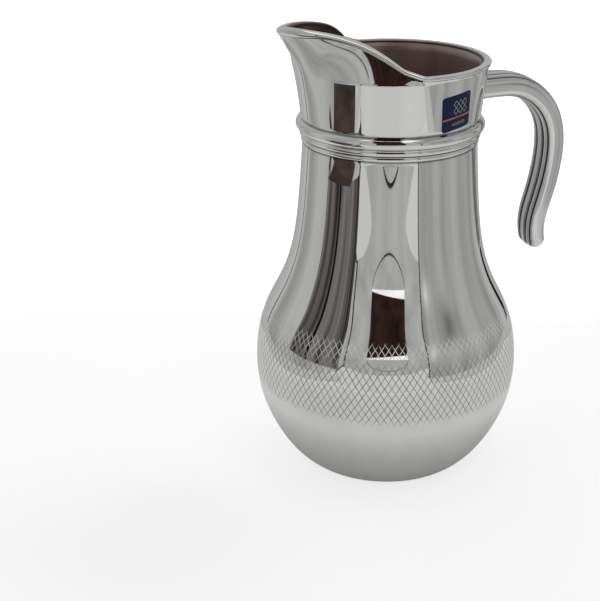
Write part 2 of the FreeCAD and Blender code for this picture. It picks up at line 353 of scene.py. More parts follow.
class Nodes:
    """Builds one material's node tree around a Principled shader."""

    def __init__(self, name):
        self.material = bpy.data.materials.new(name)
        self.material.use_nodes = True
        self.tree = self.material.node_tree
        self.shader = self.tree.nodes["Principled BSDF"]
        self.place = self.add("ShaderNodeTexCoord").outputs["Object"]

    def add(self, kind, **inputs):
        node = self.tree.nodes.new(kind)
        for name, value in inputs.items():
            self.set(node, name.replace("_", " "), value)
        return node

    def set(self, node, name, value):
        """Gives the input of that name or number a value, or links a socket to it."""
        socket = node.inputs[name]
        if isinstance(value, bpy.types.NodeSocket):
            self.tree.links.new(value, socket)
        else:
            socket.default_value = value

    def noise(self, scale, detail=4.0, stretch=(1, 1, 1), distortion=0.0):
        """A noise field in object space, with features about 1 / scale metres across."""
        mapping = self.add("ShaderNodeMapping", Vector=self.place, Scale=stretch)
        return self.add(
            "ShaderNodeTexNoise", Vector=mapping.outputs[0], Scale=scale, Detail=detail, Distortion=distortion
        ).outputs[0]

    def spread(self, value, low, high, from_low=0.0, from_high=1.0):
        """Maps a field to the range low to high."""
        node = self.add("ShaderNodeMapRange", Value=value)
        limits = {"From Min": from_low, "From Max": from_high, "To Min": low, "To Max": high}
        for name, number in limits.items():
            node.inputs[name].default_value = number
        return node.outputs[0]

    def mix(self, share, one, other):
        node = self.add("ShaderNodeMix")
        node.data_type = "RGBA"
        self.set(node, 0, share)
        self.set(node, 6, one)
        self.set(node, 7, other)
        return node.outputs[2]

    def blend(self, field, one, other):
        """Two colours mottled by a noise field."""
        return self.mix(self.spread(field, 0.0, 1.0, 0.3, 0.7), one, other)

    def with_painted_shade(self, tone, dark):
        """A colour that the mesh's painted shade darkens."""
        amount = self.add("ShaderNodeAttribute")
        amount.attribute_name = PAINTED_SHADE
        return self.mix(amount.outputs["Fac"], tone, dark)

    def bump(self, height, distance):
        return self.add("ShaderNodeBump", Height=height, Distance=distance, Strength=1.0).outputs[0]

    def finish(self, **sockets):
        for name, value in sockets.items():
            self.set(self.shader, name.replace("_", " "), value)
        return self.material


def silver_material(name, light, dark, polish, haze, paints_shade=False):
    """Plating over glass: a clear mirror, with faint ripple, streaks and handling marks."""
    n = Nodes(name)
    smudges = n.noise(38.0, detail=6.0, distortion=0.6)
    streaks = n.noise(60.0, detail=3.0, stretch=(1, 1, 0.12))
    marks = n.spread(smudges, polish, haze, 0.35, 0.75)
    ripple = n.noise(26.0, detail=1.0, stretch=(1, 1, 0.6))
    tone = n.blend(streaks, (*light, 1), (*dark, 1))
    # where asked, the mesh's painted shade darkens the plating
    if paints_shade:
        tone = n.with_painted_shade(tone, (0.03, 0.035, 0.038, 1))
    return n.finish(Base_Color=tone, Metallic=1.0, Roughness=marks, Normal=n.bump(ripple, 0.00006))


# heights (metres) where the cut lines go from painted shade below to a painted highlight with glow above
CUT_TONE_HEIGHTS = (0.079, 0.088)


def frosted_cut_material():
    """Where the wheel went through the plating: matt, scratched ground glass.

    Its tone is set by height: mid grey under the lower of the two heights (metres), and pale
    with a trace of emission over the upper one. Real ground glass would be alike all over.
    """
    n = Nodes("ground_glass")
    grain = n.noise(2600.0, detail=2.0)
    pale = n.blend(n.noise(300.0), (0.99, 0.99, 0.98, 1), (0.86, 0.86, 0.85, 1))
    # Painted light: the pale tone and faint glow over the upper height are a painted highlight, and the mid
    # grey under the lower one is painted shade.
    height = n.add("ShaderNodeSeparateXYZ", Vector=n.place).outputs["Z"]
    upper = n.spread(height, 0.0, 1.0, *CUT_TONE_HEIGHTS)
    tone = n.mix(upper, (0.5, 0.5, 0.495, 1), pale)
    return n.finish(
        Base_Color=tone, Roughness=n.spread(grain, 0.35, 0.6), Normal=n.bump(grain, 0.00004), IOR=1.5,
        Emission_Color=(1, 1, 0.99, 1), Emission_Strength=n.spread(upper, 0.0, 0.09),
    )


def glass_material():
    """Clear glass with a trace of green and a few seeds in it."""
    n = Nodes("clear_glass")
    tone = n.blend(n.noise(12.0), (0.86, 0.92, 0.9, 1), (0.9, 0.94, 0.93, 1))
    waves = n.noise(30.0, detail=1.0)
    seeds = n.spread(n.noise(900.0, detail=0.0), 0.02, 0.12, 0.6, 0.8)
    return n.finish(
        Base_Color=tone, Roughness=seeds, IOR=1.5, Transmission_Weight=1.0, Normal=n.bump(waves, 0.00005)
    )


def lacquer_material():
    """The brown film inside: thin, satin and slightly metallic, denser where it ran."""
    n = Nodes("brown_lacquer")
    runs = n.noise(45.0, detail=4.0, stretch=(1, 1, 0.25))
    tone = n.blend(runs, (0.38, 0.27, 0.25, 1), (0.54, 0.42, 0.395, 1))
    # painted shade: the film turns dark just under the rim, where the mesh says so
    tone = n.with_painted_shade(tone, (0.06, 0.045, 0.042, 1))
    peel = n.noise(420.0, detail=1.0)
    return n.finish(
        Base_Color=tone, Metallic=0.6, Roughness=n.spread(runs, 0.28, 0.4), Normal=n.bump(peel, 0.00005)
    )


def print_material(name, one, other, roughness):
    """Ink on foil, with a fine mottle."""
    n = Nodes(name)
    mottle = n.noise(900.0, detail=2.0)
    tone = n.blend(mottle, one, other)
    return n.finish(
        Base_Color=tone, Roughness=n.spread(mottle, roughness, roughness + 0.12),
        Normal=n.bump(n.noise(160.0, detail=1.0), 0.00006), Specular_IOR_Level=0.2
    )


BRIGHT_SILVER = (0.93, 0.93, 0.925)
STREAKED_SILVER = (0.89, 0.89, 0.885)
DULL_SILVER = (0.84, 0.845, 0.845)
silver = silver_material("silver_plating", BRIGHT_SILVER, STREAKED_SILVER, 0.018, 0.06)
neck_silver = silver_material(
    "silver_plating_neck", BRIGHT_SILVER, STREAKED_SILVER, 0.018, 0.06, paints_shade=True
)
handle_silver = silver_material(
    "silver_plating_handle", BRIGHT_SILVER, DULL_SILVER, 0.08, 0.16, paints_shade=True
)
ground_glass = frosted_cut_material()
clear_glass = glass_material()
lacquer = lacquer_material()
navy_print = print_material("navy_print", (0.012, 0.018, 0.075, 1), (0.02, 0.028, 0.1, 1), 0.28)
orange_print = print_material("orange_print", (0.62, 0.2, 0.06, 1), (0.75, 0.33, 0.12, 1), 0.3)
pale_print = print_material("pale_print", (0.45, 0.46, 0.5, 1), (0.6, 0.6, 0.62, 1), 0.3)


# ---- the vessel ----

COLUMNS = 720
HIDDEN_COLUMNS = 360
COAT_BACK = PLATING * 0.6
FILM_LIFT = 0.2
FILM_BACK = 0.15


def glass_body():
    angle = even_angles(HIDDEN_COLUMNS)
    outer = outside_rows(angle, PLATING, 0.0)
    bead = bead_rows(angle, PLATING, 180)
    inner = inside_rows(angle, PLATING + GLASS, FLOOR_HEIGHT)
    foot = np.linspace(0, 1, 14)[1:]
    punt_radius = np.concatenate([PUNT_RADIUS * foot, [(PUNT_RADIUS + BULB_POLES[0][0]) / 2]])
    punt_height = np.concatenate([PUNT_DEPTH * (1 - foot ** 2), [0.0]])
    punt = [np.broadcast_to(row, (len(angle), len(row))) for row in (punt_radius, punt_height)]
    radius = np.concatenate([punt[0], outer[0], bead[0][:, 1:], inner[0][:, 1:]], axis=1)
    height = np.concatenate([punt[1], outer[1], bead[1][:, 1:], inner[1][:, 1:]], axis=1)
    columns, rows = radius.shape
    points = turned_points(angle, radius, height)
    faces = grid_faces(columns, rows)
    points, faces = close_pole(points, faces, columns, rows, 0, PUNT_DEPTH, flip=True)
    points, faces = close_pole(points, faces, columns, rows, rows - 1, FLOOR_HEIGHT, flip=False)
    return new_piece("glass_vessel", points, faces, [clear_glass])


# dark tints set in the collar's crevices, and at the foot of the rim's bead, where the line
# is thin round the spout and bold round the back
# these tints are painted shade: darkening in the collar's crevices and a dark line under the rim's bead
CREVICE_PAINTED_SHADE = 0.8
BEAD_LINE_PAINTED_SHADE = (0.35, 0.55)
BEAD_LINE_TURNS = (math.radians(60), math.radians(95))
BOLD_LINE_PAINTED_SHADE = 0.85
BOLD_LINE_TURNS = (math.radians(84), math.radians(100))


def upper_painted_shade(angle, radius, height, bead_foot):
    """How much painted shade each point of the upper plating has: columns by rows."""
    in_collar = (height > COLLAR_BOTTOM - 0.05) & (height < NECK_BOTTOM[1] - 0.5)
    dark = CREVICE_PAINTED_SHADE * ((np.abs(radius - COLLAR_ROOT) < 0.1) & in_collar)
    size = np.abs((angle + math.pi) % (2 * math.pi) - math.pi)
    dark[:, bead_foot] = BEAD_LINE_PAINTED_SHADE[0] + BEAD_LINE_PAINTED_SHADE[1] * smoothstep(*BEAD_LINE_TURNS, size)
    dark[:, bead_foot - 3:bead_foot + 2] += BOLD_LINE_PAINTED_SHADE * smoothstep(*BOLD_LINE_TURNS, size)[:, None]
    return dark


def silver_upper():
    angle = even_angles(COLUMNS)
    outer = outside_rows(angle, 0.0, BAND_TOP)
    bead = bead_rows(angle, 0.0, FILM_START + 4)
    radius = np.concatenate([outer[0], bead[0][:, 1:]], axis=1)
    height = np.concatenate([outer[1], bead[1][:, 1:]], axis=1)
    columns, rows = radius.shape
    piece = new_piece(
        "silver_neck_and_lip", turned_points(angle, radius, height), grid_faces(columns, rows), [neck_silver]
    )
    painted_shade(piece, upper_painted_shade(angle, radius, height, bead_foot=outer[0].shape[1] - 1))
    return thicken(piece, COAT_BACK)


def silver_lower():
    angle = even_angles(COLUMNS)
    rows = bulb_rows(0.0, STAND_CLEARANCE, BAND_BOTTOM, 1.0)
    radius = np.broadcast_to(rows[:, 0], (COLUMNS, len(rows)))
    height = np.broadcast_to(rows[:, 1], (COLUMNS, len(rows)))
    piece = new_piece(
        "silver_bulb_base", turned_points(angle, radius, height), grid_faces(*radius.shape), [silver]
    )
    return thicken(piece, COAT_BACK)


# how dark the film is where it comes over the bead, row by row from its fifth row down
# this darkening is painted shade under the rim's edge
FILM_EDGE_ROW = 4
FILM_EDGE_PAINTED_SHADE = (0.5, 0.85, 0.9, 0.9, 0.85, 0.6, 0.25)


def inner_film():
    angle = even_angles(HIDDEN_COLUMNS)
    film = PLATING + GLASS + FILM_LIFT
    over_rim = [bead_point(angle, 0.12, turn) for turn in np.radians(np.linspace(FILM_START, 180, 9))]
    wall_radius, wall_height = inside_rows(angle, film, FLOOR_HEIGHT + FILM_LIFT)
    radius = np.concatenate([np.stack([p[0] for p in over_rim], axis=1), wall_radius], axis=1)
    height = np.concatenate([np.stack([p[1] for p in over_rim], axis=1), wall_height], axis=1)
    columns, rows = radius.shape
    points = turned_points(angle, radius, height)
    points, faces = close_pole(
        points, grid_faces(columns, rows), columns, rows, rows - 1, FLOOR_HEIGHT + FILM_LIFT, flip=False
    )
    piece = new_piece("lacquer_film", points, faces, [lacquer])
    dark = np.zeros(len(points))
    edge_rows = slice(FILM_EDGE_ROW, FILM_EDGE_ROW + len(FILM_EDGE_PAINTED_SHADE))
    dark[:columns * rows].reshape(columns, rows)[:, edge_rows] = FILM_EDGE_PAINTED_SHADE
    painted_shade(piece, dark)
    return thicken(piece, FILM_BACK)


# ---- the cut band ----

LINES = 120
CROSSING_ROWS = 17
CUT_DEPTH = 0.22
CELL_STEPS = 4
CUT_MARGIN = 0.064
CUT_TAPER = 1.1


def band_heights():
    """Even steps of turn along one cut line, and the height that each step reaches."""
    outline = bulb_rows(0.0, BAND_BOTTOM, BAND_TOP, 40)
    run = np.hypot(*np.diff(outline, axis=0).T)
    turn = np.concatenate([[0], np.cumsum(run / ((outline[1:, 0] + outline[:-1, 0]) / 2))])
    return turn / turn[-1] * CROSSING_ROWS, outline


band_turn, band_outline = band_heights()


def band_point(along, row, depth):
    """A point of the band: along counts lines round the jug, row counts crossings up it."""
    radius = np.interp(row, band_turn, band_outline[:, 0])
    height = np.interp(row, band_turn, band_outline[:, 1])
    slope = np.interp(row, band_turn, np.gradient(band_outline[:, 0], band_outline[:, 1]))
    tilt = np.hypot(1, slope)
    angle = along * 2 * math.pi / LINES
    radius = radius - depth / tilt
    height = height + depth * slope / tilt
    point = np.stack([-radius * np.cos(angle), -radius * np.sin(angle), height], axis=-1)
    normal = np.stack([-np.cos(angle) / tilt, -np.sin(angle) / tilt, -slope / tilt], axis=-1)
    return point, normal


def cut_band():
    """The lattice: bright diamonds of plating between V-shaped grooves of ground glass.

    u counts the lines that lean one way and v those that lean the other; u + v is the crossing row.
    """
    hand = np.random.default_rng(7)
    wander = hand.normal(0, 0.035, (2, LINES))
    pressure = hand.uniform(0.75, 1.1, (2, LINES))
    tail = hand.uniform(0.35, 1.0, (2, LINES, 2))
    between = np.arange(1, CELL_STEPS) / CELL_STEPS
    nominal = np.concatenate([[0.0, CUT_MARGIN], between, [1 - CUT_MARGIN, 1.0]])
    last = len(nominal) - 1

    rows = np.repeat(np.arange(-1, CROSSING_ROWS), LINES)
    first = np.tile(np.arange(LINES), CROSSING_ROWS + 1)
    second = rows - first

    def weight(family, number, offset):
        """For one line of every cell: 1 along the cut, falling to 0 past its tapered ends."""
        line = (number[:, None] + offset) % LINES
        row = rows[:, None] + offset + nominal[None, :]
        rise = np.clip((row - tail[family, line, 0]) / CUT_TAPER, 0.01, 1)
        fall = np.clip((CROSSING_ROWS - tail[family, line, 1] - row) / CUT_TAPER, 0.01, 1)
        return np.minimum(rise, fall) * pressure[family, line]

    def shares(family, number):
        """Each grid line's place between two cuts, drawn in to the edges of the grooves."""
        share = np.broadcast_to(nominal[None, :, None], (len(rows), last + 1, last + 1)).copy()
        share[:, 1, :] = CUT_MARGIN * weight(family, number, 0)
        share[:, last - 1, :] = 1 - CUT_MARGIN * weight(family, number, 1)
        return share

    u_share = shares(0, first)
    v_share = np.swapaxes(shares(1, second), 1, 2)
    depth = np.zeros(u_share.shape)
    for family, number, view in ((0, first, depth), (1, second, np.swapaxes(depth, 1, 2))):
        for place, offset in ((0, 0), (last, 1)):
            view[:, place, :] = np.maximum(view[:, place, :], CUT_DEPTH * weight(family, number, offset))
    depth[depth < CUT_DEPTH * 0.02] = 0.0

    def shift(family, number, share):
        low = wander[family, number % LINES][:, None, None]
        high = wander[family, (number + 1) % LINES][:, None, None]
        return low + (high - low) * share

    u = first[:, None, None] + u_share
    v = second[:, None, None] + v_share
    calm = np.clip(np.minimum(u + v, CROSSING_ROWS - u - v), 0, 1)
    u = u + shift(0, first, u_share) * calm
    v = v + shift(1, second, v_share) * calm
    points, normals = band_point((u - v) / 2, u + v, depth)
    return finish_lattice(points, normals, depth, rows, last)


def finish_lattice(points, normals, depth, rows, last):
    """Joins the cells' grids into one mesh whose diamonds keep the curve of the jug."""
    side = last + 1
    corners, kinds = [], []
    for a in range(last):
        for b in range(last):
            corners.append((a * side + b, (a + 1) * side + b, (a + 1) * side + b + 1, a * side + b + 1))
            kinds.append(a in (0, last - 1) or b in (0, last - 1))
    corners = np.array(corners)
    corner_sum = np.array([[index // side + index % side for index in quad] for quad in corners])
    flat_points = points.reshape(-1, 3)
    flat_normals = normals.reshape(-1, 3)
    _, keep, merged = np.unique(np.round(flat_points, 4), axis=0, return_index=True, return_inverse=True)
    merged = merged.reshape(len(rows), side * side)
    cell_depth = depth.reshape(len(rows), -1)
    faces, face_cut, face_sources = [], [], []
    for cell, row in enumerate(rows):
        for quad, sums, in_groove in zip(corners, corner_sum, kinds):
            if row == -1:
                use = [k for k, s in zip(quad, sums) if s >= last]
            elif row == CROSSING_ROWS - 1:
                use = [k for k, s in zip(quad, sums) if s <= last]
            else:
                use = list(quad)
            if len(use) < 3:
                continue
            faces.append([int(merged[cell, k]) for k in use])
            face_cut.append(in_groove and max(cell_depth[cell, k] for k in use) > 0.0)
            face_sources.append([cell * side * side + k for k in use])
    piece = new_piece("silver_cut_diamonds", flat_points[keep], faces, [silver, ground_glass])
    mesh = piece.data
    mesh.polygons.foreach_set("material_index", np.array(face_cut, np.int32))
    corner_normals = []
    for polygon, sources, cut in zip(mesh.polygons, face_sources, face_cut):
        for source in sources:
            corner_normals.append(polygon.normal[:] if cut else flat_normals[source])
    mesh.normals_split_custom_set(corner_normals)
    return thicken(piece, PLATING)


# ---- the handle ----

STATIONS = 240
SECTION_POINTS = 200
SQUARENESS = 3.0
GROOVE_PLACE = 0.33
GROOVE_WIDTH = 0.1
CORNER_TURNS = [math.radians(turn) for turn in (50, 130, 230, 310)]
CORNER_WIDTH = math.radians(6)
CORNER_SHARE = 0.9
OUTER_GROOVE_SHARE = 0.75
# painted light on the handle's silver: painted shade in the grooves and along the edges between faces, and a
# painted reflection of the dark jug on the face towards it
GROOVE_AND_EDGE_PAINTED_SHADE = 0.85
INNER_FACE_PAINTED_REFLECTION = 0.26


def handle_points(inset, start_reach):
    """Stations by section points of a fluted strap that narrows, and how dark each point is.

    Its tail is rounded. The grooves and the edges between faces are darkest, as painted shade, and the face
    towards the jug is a little dark, as a painted reflection of the jug.
    """
    line = clamped_spline([(reach, 0.0, height) for reach, height in HANDLE_POLES], 4000)
    line = line[line[:, 0] >= start_reach]
    run = np.concatenate([[0], np.cumsum(np.linalg.norm(np.diff(line, axis=0), axis=1))])
    length = run[-1] - inset
    tail = HANDLE_DEPTH[1] / 2 - inset
    turn = np.linspace(0, math.radians(88), 26)
    straight = np.linspace(0, length - tail, STATIONS)[:-1]
    along = np.concatenate([straight, length - tail + tail * np.sin(turn)])
    roundness = np.concatenate([np.ones(STATIONS - 1), np.cos(turn)])
    centre = np.stack([np.interp(along, run, line[:, i]) for i in range(3)], axis=1)
    tangent = np.gradient(line, axis=0)
    tangent = np.stack([np.interp(along, run, tangent[:, i]) for i in range(3)], axis=1)
    tangent /= np.linalg.norm(tangent, axis=1, keepdims=True)
    outwards = np.stack([-tangent[:, 2], np.zeros(len(along)), tangent[:, 0]], axis=1)
    share = along / run[-1]
    width = HANDLE_WIDTH[0] + (HANDLE_WIDTH[1] - HANDLE_WIDTH[0]) * share
    depth = HANDLE_DEPTH[0] + (HANDLE_DEPTH[1] - HANDLE_DEPTH[0]) * share
    width = width * (1 - (1 - roundness) * depth / width) - 2 * inset
    depth = (depth - 2 * inset) * roundness
    angle = np.linspace(0, 2 * math.pi, SECTION_POINTS, endpoint=False)
    across = np.sign(np.cos(angle)) * np.abs(np.cos(angle)) ** (2 / SQUARENESS)
    up = np.sign(np.sin(angle)) * np.abs(np.sin(angle)) ** (2 / SQUARENESS)
    dent = sum(np.exp(-(((across - place) / GROOVE_WIDTH) ** 2)) for place in (-GROOVE_PLACE, GROOVE_PLACE))
    outer_face = np.where(up > 0, OUTER_GROOVE_SHARE, 1.0)
    fade = (roundness * smoothstep(-0.1, 0.06, share))[:, None]
    corner = sum(np.exp(-(((angle - turn) / CORNER_WIDTH) ** 2)) for turn in CORNER_TURNS)
    rise = up * depth[:, None] / 2 - np.sign(up) * np.abs(up) ** 3 * dent * outer_face * fade
    rise = rise - up * corner * fade * CORNER_SHARE
    side = np.zeros((len(along), len(angle), 3))
    side[:, :, 1] = across * (width[:, None] / 2 - corner * fade * CORNER_SHARE)
    dark = GROOVE_AND_EDGE_PAINTED_SHADE * np.clip(dent * np.abs(up) ** 3 + 1.1 * corner, 0, 1)
    dark = dark + INNER_FACE_PAINTED_REFLECTION * smoothstep(0.5, 0.9, -up)
    return centre[:, None, :] + side + outwards[:, None, :] * rise[:, :, None], dark * fade


def handle_piece(name, inset, start_reach, material):
    """A closed sweep: its first ring ends inside the neck's wall, and its last is the tail's tip."""
    rings, dark = handle_points(inset, start_reach)
    stations, count = rings.shape[:2]
    faces = [face[::-1] for face in grid_faces(stations, count, closed_columns=False, closed_rows=True)]
    faces.append(list(range(count)))
    faces.append([(stations - 1) * count + c for c in range(count)][::-1])
    piece = new_piece(name, rings.reshape(-1, 3), faces, [material])
    painted_shade(piece, dark)
    return piece


# ---- the label ----

LABEL_ANGLE = -68.2
LABEL_WIDTH = 19.2
LABEL_HEIGHT = 18.4
LABEL_BOTTOM = 199.4
LABEL_CORNER = 1.4
LABEL_TILT = math.radians(6.5)


def on_neck(across, up, skin):
    """A point of the label: millimetres across its middle and above its bottom, on the neck.

    The label was stuck on by hand, so it leans a little.
    """
    rise = up - LABEL_HEIGHT / 2
    middle = LABEL_BOTTOM + LABEL_HEIGHT / 2
    height = middle + rise * math.cos(LABEL_TILT) + across * math.sin(LABEL_TILT)
    across = across * math.cos(LABEL_TILT) - rise * math.sin(LABEL_TILT)
    radius = np.interp(height, (NECK_BOTTOM[1], CREASE[1]), (NECK_BOTTOM[0], CREASE[0])) + skin
    angle = math.radians(LABEL_ANGLE) + across / radius
    return np.stack([radius * np.cos(angle), radius * np.sin(angle), height], axis=-1)


def label_patch(name, low, high, corner, skin, material):
    """A thin patch with rounded corners, between two corners given in millimetres on the label."""
    columns, rows = 40, 36
    s = np.linspace(-1, 1, columns)[:, None]
    t = np.linspace(-1, 1, rows)[None, :]
    half = np.array([(high[0] - low[0]) / 2, (high[1] - low[1]) / 2])
    middle = np.array([(high[0] + low[0]) / 2, (high[1] + low[1]) / 2])
    x = s * half[0] + 0 * t
    y = t * half[1] + 0 * s
    over = np.maximum(np.abs(y) - (half[1] - corner), 0)
    limit = half[0] - corner + np.sqrt(np.maximum(corner ** 2 - over ** 2, 0))
    x = x / half[0] * limit
    points = on_neck(middle[0] + x, middle[1] + y, skin).reshape(-1, 3)
    piece = new_piece(name, points, grid_faces(columns, rows, closed_columns=False), [material])
    return thicken(piece, 0.09)


def label_trellis(name, columns, rows, low, size, line):
    """A little trellis of crossed lines, like the cut band, in place of a printed name."""
    points, faces = [], []

    def stroke(start, end):
        start, end = np.array(start), np.array(end)
        along = (end - start) / np.linalg.norm(end - start)
        aside = np.array([-along[1], along[0]]) * line / 2
        first = len(points)
        for share in np.linspace(0, 1, 5):
            middle = start + (end - start) * share
            points.extend((middle - aside, middle + aside))
        for k in range(first, first + 8, 2):
            faces.append((k, k + 2, k + 3, k + 1))

    for column in range(columns):
        for row in range(rows):
            x, y = low[0] + column * size[0], low[1] + row * size[1]
            top, bottom = (x, y + size[1] / 2), (x, y - size[1] / 2)
            left, right = (x - size[0] / 2, y), (x + size[0] / 2, y)
            for start, end in ((bottom, right), (right, top), (top, left), (left, bottom)):
                stroke(start, end)
    points = np.array(points)
    on_label = on_neck(points[:, 0], points[:, 1], 0.17)
    return thicken(new_piece(name, on_label, [face[::-1] for face in faces], [pale_print]), 0.06)


def label_pieces():
    """A plain foil label: a navy ground, an orange rule and two strips of trellis, with no lettering."""
    half = LABEL_WIDTH / 2
    ground = label_patch("label_ground", (-half, 0), (half, LABEL_HEIGHT), LABEL_CORNER, 0.12, navy_print)
    rule = label_patch("label_rule", (-half + 0.3, 6.1), (half - 0.3, 6.9), 0.2, 0.17, orange_print)
    large = label_trellis("label_trellis", 3, 2, (-1.0, 10.0), (3.0, 3.6), 0.3)
    small = label_trellis("label_footer", 5, 1, (-2.6, 3.2), (1.7, 1.6), 0.22)
    return [ground, rule, large, small]


# ---- putting the pieces on the CAD body ----

def place(piece, slot, *nodes):
    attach(piece, "root")
    if nodes:
        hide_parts(*nodes)


place(glass_body(), "clear_glass", "glass_body")
place(silver_lower(), "silver_plate", "silver_lower_coat")
place(cut_band(), "cut_silver", "silver_cut_band")
place(silver_upper(), "silver_plate", "silver_upper_coat")
place(inner_film(), "brown_lacquer", "inner_coat")
place(handle_piece("glass_handle_core", 0.5, 47.2, clear_glass), "clear_glass", "glass_handle")
place(handle_piece("silver_handle", 0.0, 47.0, handle_silver), "silver_plate", "silver_handle_coat")
label_ground, *label_print = label_pieces()
place(label_ground, "label_foil", "label")
for printed in label_print:
    place(printed, "label_foil")


# ---- the studio ----
# A light tent of cloth on a pale board, turned to face the camera. Its seams, slits, patches, dark
# opening and flag are placed for the reflections that they make in the silver from the main view.

STUDIO_FRAME = Matrix.Rotation(math.radians(-21.3), 4, "Z")
TENT_LEFT = -287.0
TENT_RIGHT = 327.0
TENT_FRONT = -440.0
TENT_BACK = 190.0
TENT_TOP = 1000.0
SKIRT = 30.0


def glow_material(name, dark, bright, scale=6.0, stretch=(1, 1, 1), low=0.3, high=0.7):
    """Cloth lit from behind: a soft glow, uneven where it folds."""
    material = bpy.data.materials.new(name)
    material.use_nodes = True
    tree = material.node_tree
    tree.nodes.remove(tree.nodes["Principled BSDF"])
    glow = tree.nodes.new("ShaderNodeEmission")
    position = tree.nodes.new("ShaderNodeTexCoord")
    mapping = tree.nodes.new("ShaderNodeMapping")
    mapping.inputs["Scale"].default_value = stretch
    noise = tree.nodes.new("ShaderNodeTexNoise")
    noise.inputs["Scale"].default_value = scale
    noise.inputs["Detail"].default_value = 2.0
    ramp = tree.nodes.new("ShaderNodeValToRGB")
    ramp.color_ramp.elements[0].position = low
    ramp.color_ramp.elements[0].color = (*dark, 1)
    ramp.color_ramp.elements[1].position = high
    ramp.color_ramp.elements[1].color = (*bright, 1)
    tree.links.new(position.outputs["Object"], mapping.inputs["Vector"])
    tree.links.new(mapping.outputs[0], noise.inputs["Vector"])
    tree.links.new(noise.outputs[0], ramp.inputs[0])
    tree.links.new(ramp.outputs[0], glow.inputs["Color"])
    tree.links.new(glow.outputs[0], tree.nodes["Material Output"].inputs["Surface"])
    return material


def grey(value):
    return (value, value, value * 0.99)


def set_up(piece, frame_matrix=STUDIO_FRAME):
    """Stands a stage piece in the studio, unseen by the camera itself."""
    piece.matrix_world = frame_matrix
    piece.visible_camera = False


def studio_card(name, corners, material):
    """One flat panel from its corners in the studio's frame."""
    set_up(new_piece(name, corners, [list(range(len(corners)))], [material]))


def wall(name, start, end, low, high, material):
    """An upright panel between two plan points and two heights."""
    studio_card(name, [(*start, low), (*end, low), (*end, high), (*start, high)], material)


CORNERS = (
    (TENT_LEFT, TENT_FRONT), (TENT_RIGHT, TENT_FRONT), (TENT_RIGHT, TENT_BACK), (TENT_LEFT, TENT_BACK),
)
CLOTHS = (
    glow_material("tent_front", grey(0.32), grey(0.45), scale=9.0),
    glow_material("tent_right", grey(0.22), grey(0.42), scale=9.0, stretch=(1, 1, 0.2)),
    glow_material("tent_back", grey(0.36), grey(0.48), scale=9.0, stretch=(1, 1, 0.2)),
    glow_material("tent_left", grey(0.28), grey(0.46), scale=9.0, stretch=(1, 1, 0.2)),
)
skirt_cloth = glow_material("tent_skirt", grey(0.45), grey(0.5))
seam_dark = glow_material("tent_seam", grey(0.0), grey(0.02))
SEAM_INSET = 0.985
SEAM_WIDTH = 12.0
FRONT_LEFT = 1
BACK_RIGHT = 3
FOLD_TOP = 105.0
panels = zip(CORNERS, CORNERS[1:] + CORNERS[:1], CLOTHS)
for number, (start, end, cloth) in enumerate(panels, start=1):
    wall(f"tent_skirt_{number}", start, end, -2.0, SKIRT, skirt_cloth)
    wall(f"tent_wall_{number}", start, end, SKIRT, TENT_TOP, cloth)
    inner = [coordinate * SEAM_INSET for coordinate in start]
    across = (inner[0] - math.copysign(SEAM_WIDTH, inner[0]), inner[1])
    foot = FOLD_TOP if number == FRONT_LEFT else SKIRT
    if number != BACK_RIGHT:
        wall(f"tent_seam_{number}", inner, across, foot, TENT_TOP, seam_dark)
ceiling_cloth = glow_material("tent_ceiling", grey(0.95), grey(1.1))
studio_card("tent_ceiling", [(*corner, TENT_TOP) for corner in CORNERS], ceiling_cloth)

# the ceiling over the front: a duller strip on the left, and the opening runs up into it
CEILING_BAND = -150.0
OPENING_LEFT = -210.0
OPENING_RIGHT = 151.0


def ceiling_card(name, left, right, material):
    corners = ((left, TENT_FRONT), (right, TENT_FRONT), (right, CEILING_BAND), (left, CEILING_BAND))
    studio_card(name, [(x, y, TENT_TOP - 5.0) for x, y in corners], material)


band_cloth = glow_material("tent_ceiling_band", grey(0.4), grey(0.5))
ceiling_card("tent_ceiling_band", TENT_LEFT, OPENING_LEFT, band_cloth)

OPENING_WALL = TENT_FRONT + 4.0
opening_dark = glow_material("tent_opening", (0.012, 0.006, 0.005), (0.035, 0.018, 0.014), scale=14.0)
opening_corners = (
    (-112.0, 189.0), (OPENING_RIGHT, 217.0), (OPENING_RIGHT, TENT_TOP), (OPENING_LEFT, TENT_TOP),
    (-170.0, 520.0), (-112.0, 400.0),
)
studio_card("tent_opening", [(x, OPENING_WALL, z) for x, z in opening_corners], opening_dark)
ceiling_card("tent_opening_top", OPENING_LEFT, OPENING_RIGHT, opening_dark)
flap_cloth = glow_material("tent_flap", grey(0.8), grey(1.05))
flap_corners = (
    (-112.0, 182.0), (OPENING_RIGHT, 184.0), (OPENING_RIGHT, 217.0), (-30.0, 199.0), (-112.0, 190.0)
)
studio_card("tent_flap", [(x, OPENING_WALL + 1.0, z) for x, z in flap_corners], flap_cloth)

# a thin dark arc, the lower half of an oval
LENS_SLIT_CENTRE = (20.0, 175.0)
LENS_SLIT_REACH = (128.0, 71.0)
LENS_SLIT_WIDTH = 3.5
LENS_SLIT_POINTS = 40
slit = []
for step in (0.0, LENS_SLIT_WIDTH):
    for turn in np.linspace(math.pi, 2 * math.pi, LENS_SLIT_POINTS):
        x = LENS_SLIT_CENTRE[0] + (LENS_SLIT_REACH[0] + step) * math.cos(turn)
        z = LENS_SLIT_CENTRE[1] + (LENS_SLIT_REACH[1] + step) * math.sin(turn)
        slit.append((x, OPENING_WALL, z))
slit_faces = [
    (c + LENS_SLIT_POINTS, c + LENS_SLIT_POINTS + 1, c + 1, c) for c in range(LENS_SLIT_POINTS - 1)
]
set_up(new_piece("tent_lens_slit", slit, slit_faces, [seam_dark]))


